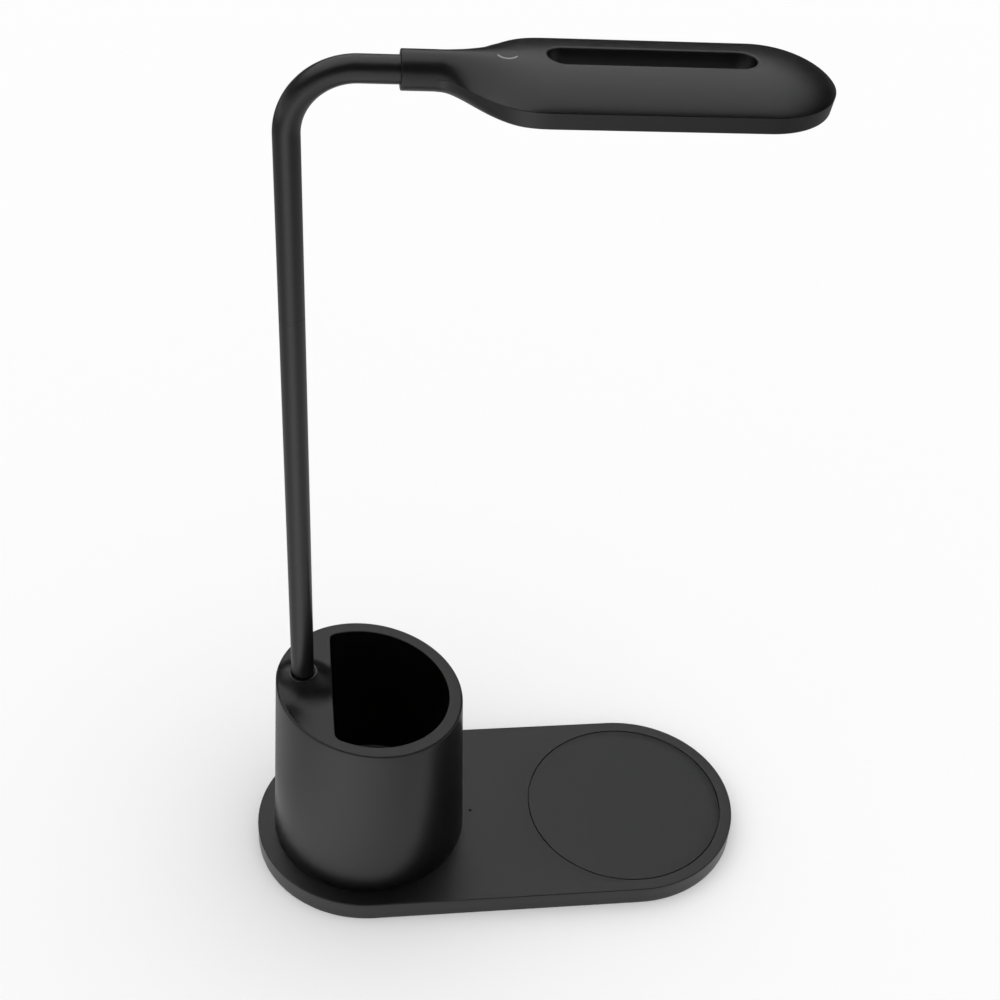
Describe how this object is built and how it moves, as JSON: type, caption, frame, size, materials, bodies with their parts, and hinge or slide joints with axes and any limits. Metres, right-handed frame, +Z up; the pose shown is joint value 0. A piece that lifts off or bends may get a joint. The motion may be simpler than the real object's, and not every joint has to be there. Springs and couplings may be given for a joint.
{
  "type": "desk lamp",
  "caption": "Gooseneck desk lamp with a slotted ring-light head, a round pen cup with a slanted rim, and a flat stadium-shaped base with a wireless charging pad.",
  "frame": {"origin": "centre of the base on the desk, under the feet", "axes": "+X from the pen cup to the charging end of the base, +Y to the back with the power inlet, +Z up"},
  "size_m": [0.181, 0.083, 0.316],
  "materials": {
    "charcoal_plastic": "fine satin moulded texture",
    "black_plastic": "fine matt texture",
    "black_silicone": "smooth satin silicone",
    "foot_rubber": "matt rubber",
    "pad_rubber": "soft matt surface",
    "gooseneck_steel": "wound steel",
    "bright_steel": "nickel plated",
    "ballast_steel": "plain sheet",
    "copper": "wound copper wire",
    "ferrite": "dark sintered sheet",
    "green_board": "solder mask",
    "white_board": "white solder mask",
    "chip_black": "moulded chips",
    "led_yellow": "phosphor",
    "milky_plastic": "milky, lets light through",
    "smoked_plastic": "dark smoked window",
    "brass_pad": "plated touch pad",
    "grey_light": "light grey window"
  },
  "bodies": {
    "base": {"base_top_shell": "charcoal_plastic", "base_bottom_cover": "black_plastic", "rubber_feet": "foot_rubber", "cover_screws": "bright_steel", "ballast_plate": "ballast_steel", "charge_pad": "pad_rubber", "charge_coil": "copper", "coil_ferrite": "ferrite", "charger_board": "green_board", "board_parts": "chip_black", "usb_socket": "bright_steel", "indicator_lens": "smoked_plastic", "cup_shell": "charcoal_plastic", "cup_screws": "bright_steel", "arm_lower_ferrule": "bright_steel", "arm_washer": "bright_steel", "arm_nut": "bright_steel", "core_0": "gooseneck_steel"},
    "arm_1": {"core_1": "gooseneck_steel", "sleeve_1": "black_silicone"},
    "arm_2": {"core_2": "gooseneck_steel", "sleeve_2": "black_silicone"},
    "arm_3": {"core_3": "gooseneck_steel", "sleeve_3": "black_silicone"},
    "arm_4": {"core_4": "gooseneck_steel", "sleeve_4": "black_silicone"},
    "arm_5": {"core_5": "gooseneck_steel", "sleeve_5": "black_silicone"},
    "arm_6": {"core_6": "gooseneck_steel", "sleeve_6": "black_silicone"},
    "arm_7": {"core_7": "gooseneck_steel", "sleeve_7": "black_silicone"},
    "arm_8": {"core_8": "gooseneck_steel", "sleeve_8": "black_silicone"},
    "head": {"core_9": "gooseneck_steel", "sleeve_9": "black_silicone", "arm_upper_ferrule": "bright_steel", "head_upper_shell": "charcoal_plastic", "head_lower_frame": "charcoal_plastic", "diffuser": "milky_plastic", "led_board": "white_board", "led_chips": "led_yellow", "head_screws": "bright_steel", "touch_sensor": "brass_pad", "touch_icon": "grey_light"}
  },
  "joints": [
    {"name": "arm_lean_1", "type": "hinge", "parent": "base", "child": "arm_1", "pos_m": [-0.0721, 0, 0.105], "axis": [0, 1, 0], "range_deg": [-15, 15], "deforming": ["sleeve_1"]},
    {"name": "arm_sway_1", "type": "hinge", "parent": "arm_1", "child": "arm_2", "pos_m": [-0.0721, 0, 0.137], "axis": [1, 0, 0], "range_deg": [-15, 15], "deforming": ["sleeve_2"]},
    {"name": "arm_lean_2", "type": "hinge", "parent": "arm_2", "child": "arm_3", "pos_m": [-0.0721, 0, 0.169], "axis": [0, 1, 0], "range_deg": [-15, 15], "deforming": ["sleeve_3"]},
    {"name": "arm_sway_2", "type": "hinge", "parent": "arm_3", "child": "arm_4", "pos_m": [-0.0721, 0, 0.201], "axis": [1, 0, 0], "range_deg": [-15, 15], "deforming": ["sleeve_4"]},
    {"name": "arm_lean_3", "type": "hinge", "parent": "arm_4", "child": "arm_5", "pos_m": [-0.0721, 0, 0.233], "axis": [0, 1, 0], "range_deg": [-15, 15], "deforming": ["sleeve_5"]},
    {"name": "arm_sway_3", "type": "hinge", "parent": "arm_5", "child": "arm_6", "pos_m": [-0.0721, 0, 0.265], "axis": [1, 0, 0], "range_deg": [-15, 15], "deforming": ["sleeve_6"]},
    {"name": "head_nod_1", "type": "hinge", "parent": "arm_6", "child": "arm_7", "pos_m": [-0.06955, 0, 0.3013], "axis": [0, 1, 0], "range_deg": [-20, 20], "deforming": ["sleeve_7"]},
    {"name": "head_nod_2", "type": "hinge", "parent": "arm_7", "child": "arm_8", "pos_m": [-0.05705, 0, 0.31038], "axis": [0, 1, 0], "range_deg": [-20, 20], "deforming": ["sleeve_8"]},
    {"name": "head_swing", "type": "hinge", "parent": "arm_8", "child": "head", "pos_m": [-0.04755, 0, 0.31065], "axis": [0.029, 0, 0.9996], "range_deg": [-20, 20], "deforming": ["sleeve_9"]}
  ],
  "couplings": [
    {"joint": "arm_lean_2", "follows": "arm_lean_1", "ratio": 1},
    {"joint": "arm_lean_3", "follows": "arm_lean_1", "ratio": 1},
    {"joint": "arm_sway_2", "follows": "arm_sway_1", "ratio": 1},
    {"joint": "arm_sway_3", "follows": "arm_sway_1", "ratio": 1},
    {"joint": "head_nod_2", "follows": "head_nod_1", "ratio": 1}
  ]
}
